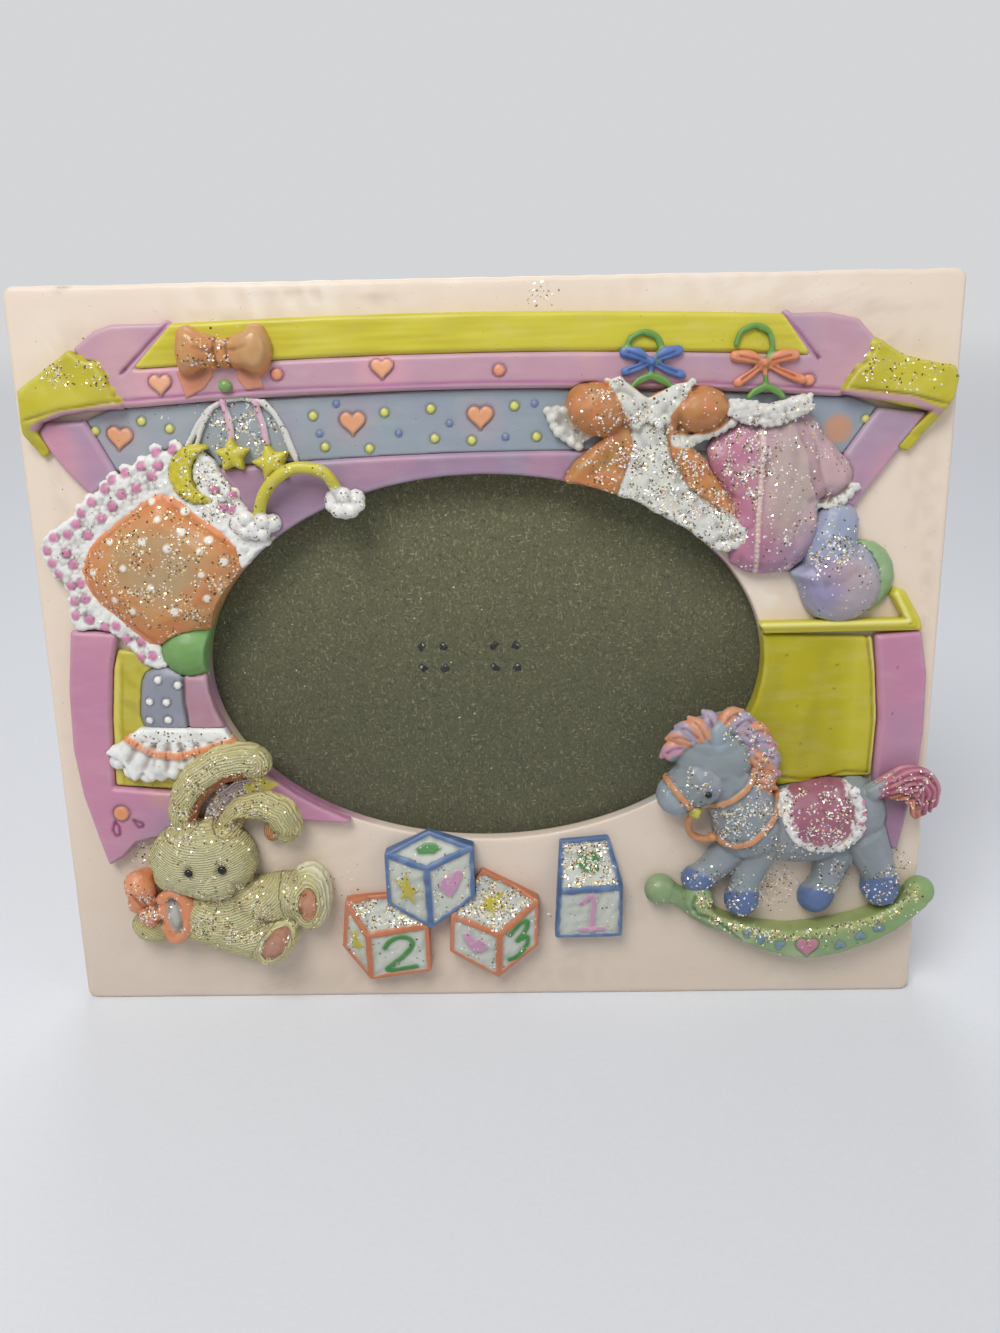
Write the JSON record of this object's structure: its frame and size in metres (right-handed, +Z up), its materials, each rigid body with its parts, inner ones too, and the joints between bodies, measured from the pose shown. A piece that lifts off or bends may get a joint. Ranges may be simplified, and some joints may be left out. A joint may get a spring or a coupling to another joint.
{
  "type": "picture frame",
  "caption": "Leaning resin picture frame with an oval glazed window, painted castings of a toy chest and nursery toys on its face, turn buttons and a folding easel leg.",
  "frame": {"origin": "on the table, in the middle of the flat face that the plate stands on", "axes": "+X to the right across the plate as seen from the front, +Y to the back, towards the leg, +Z up"},
  "size_m": [0.2186, 0.0677, 0.1733],
  "materials": {
    "plate_cream": "pale pink-cream painted resin, lightly speckled",
    "pane": "clear flat glass",
    "chipboard": "grey chipboard with dark fibres",
    "velour": "black flocked paper",
    "steel": "bright zinc plate",
    "brassed": "brass plate, a little dulled",
    "yellow": "yellow painted resin with clear glitter",
    "orchid": "orchid pink painted resin with engraved lines",
    "orange": "salmon orange painted resin with gold glitter",
    "lining_blue": "blue-grey painted resin with hearts and dots",
    "ball_green": "green painted resin",
    "hanger_green": "leaf green painted resin",
    "lace_white": "white painted resin lace with pink dots",
    "bunny_cream": "pale yellow-cream painted resin, ribbed as knitting",
    "horse_grey": "blue-grey painted resin, dappled",
    "block_blue": "white faced block with blue edges",
    "saddle_pink": "rose painted resin",
    "rocker_green": "light green painted resin with small motifs",
    "blanket_grey": "blue-grey painted resin with white dots",
    "bootie_blue": "blue-mauve painted resin, ribbed as knitting",
    "gown_pink": "soft pink painted resin"
  },
  "bodies": {
    "frame": {"frame_plate": "plate_cream", "glass_pane": "pane", "backing_board": "chipboard", "velour_backing": "velour", "hinge_leaf_board": "steel", "hinge_pin": "steel", "turn_button_screw_1": "steel", "turn_button_screw_2": "steel", "turn_button_screw_3": "steel", "turn_button_screw_4": "steel", "board_rivet_left": "brassed", "board_rivet_right": "brassed", "rainbow": "yellow", "moon": "yellow", "star_left": "yellow", "star_right": "yellow", "lid_corner_left": "yellow", "lid_corner_right": "yellow", "lid_top_band": "yellow", "chest_panel_left": "yellow", "chest_panel_right": "yellow", "chest_rim_right": "yellow", "lid_front_band": "orchid", "lid_side_left": "orchid", "lid_side_right": "orchid", "lid_hinge_strip": "orchid", "chest_post_left": "orchid", "chest_base_strip": "orchid", "chest_post_right": "orchid", "bow_top": "orange", "bunny_bow": "orange", "block_2": "orange", "block_3": "orange", "dress": "orange", "pillow": "orange", "hanger_right": "orange", "lid_lining": "lining_blue", "ball_left": "ball_green", "ball_right": "ball_green", "hanger_left": "hanger_green", "lace_trim": "lace_white", "pillow_lace": "lace_white", "mobile_strings": "lace_white", "bunny": "bunny_cream", "rocking_horse": "horse_grey", "block_1": "block_blue", "block_4": "block_blue", "saddle": "saddle_pink", "rocker": "rocker_green", "blanket": "blanket_grey", "bootie": "bootie_blue", "gown": "gown_pink"},
    "leg": {"easel_leg": "velour", "hinge_leaf_leg": "steel", "leg_rivet_left": "brassed", "leg_rivet_right": "brassed"},
    "button_1": {"turn_button_1": "brassed"},
    "button_2": {"turn_button_2": "brassed"},
    "button_3": {"turn_button_3": "brassed"},
    "button_4": {"turn_button_4": "brassed"}
  },
  "joints": [
    {"name": "easel_hinge", "type": "hinge", "parent": "frame", "child": "leg", "pos_m": [-0.005, 0.02888, 0.09288], "axis": [-1, 0, 0], "range_deg": [0, 29]},
    {"name": "button_1_turn", "type": "hinge", "parent": "frame", "child": "button_1", "pos_m": [-0.047, 0.03783, 0.1412], "axis": [0, -0.9744, 0.225], "continuous": true},
    {"name": "button_2_turn", "type": "hinge", "parent": "frame", "child": "button_2", "pos_m": [0.045, 0.03783, 0.1412], "axis": [0, -0.9744, 0.225], "continuous": true},
    {"name": "button_3_turn", "type": "hinge", "parent": "frame", "child": "button_3", "pos_m": [0.045, 0.01192, 0.02896], "axis": [0, -0.9744, 0.225], "continuous": true},
    {"name": "button_4_turn", "type": "hinge", "parent": "frame", "child": "button_4", "pos_m": [-0.047, 0.01192, 0.02896], "axis": [0, -0.9744, 0.225], "continuous": true}
  ]
}
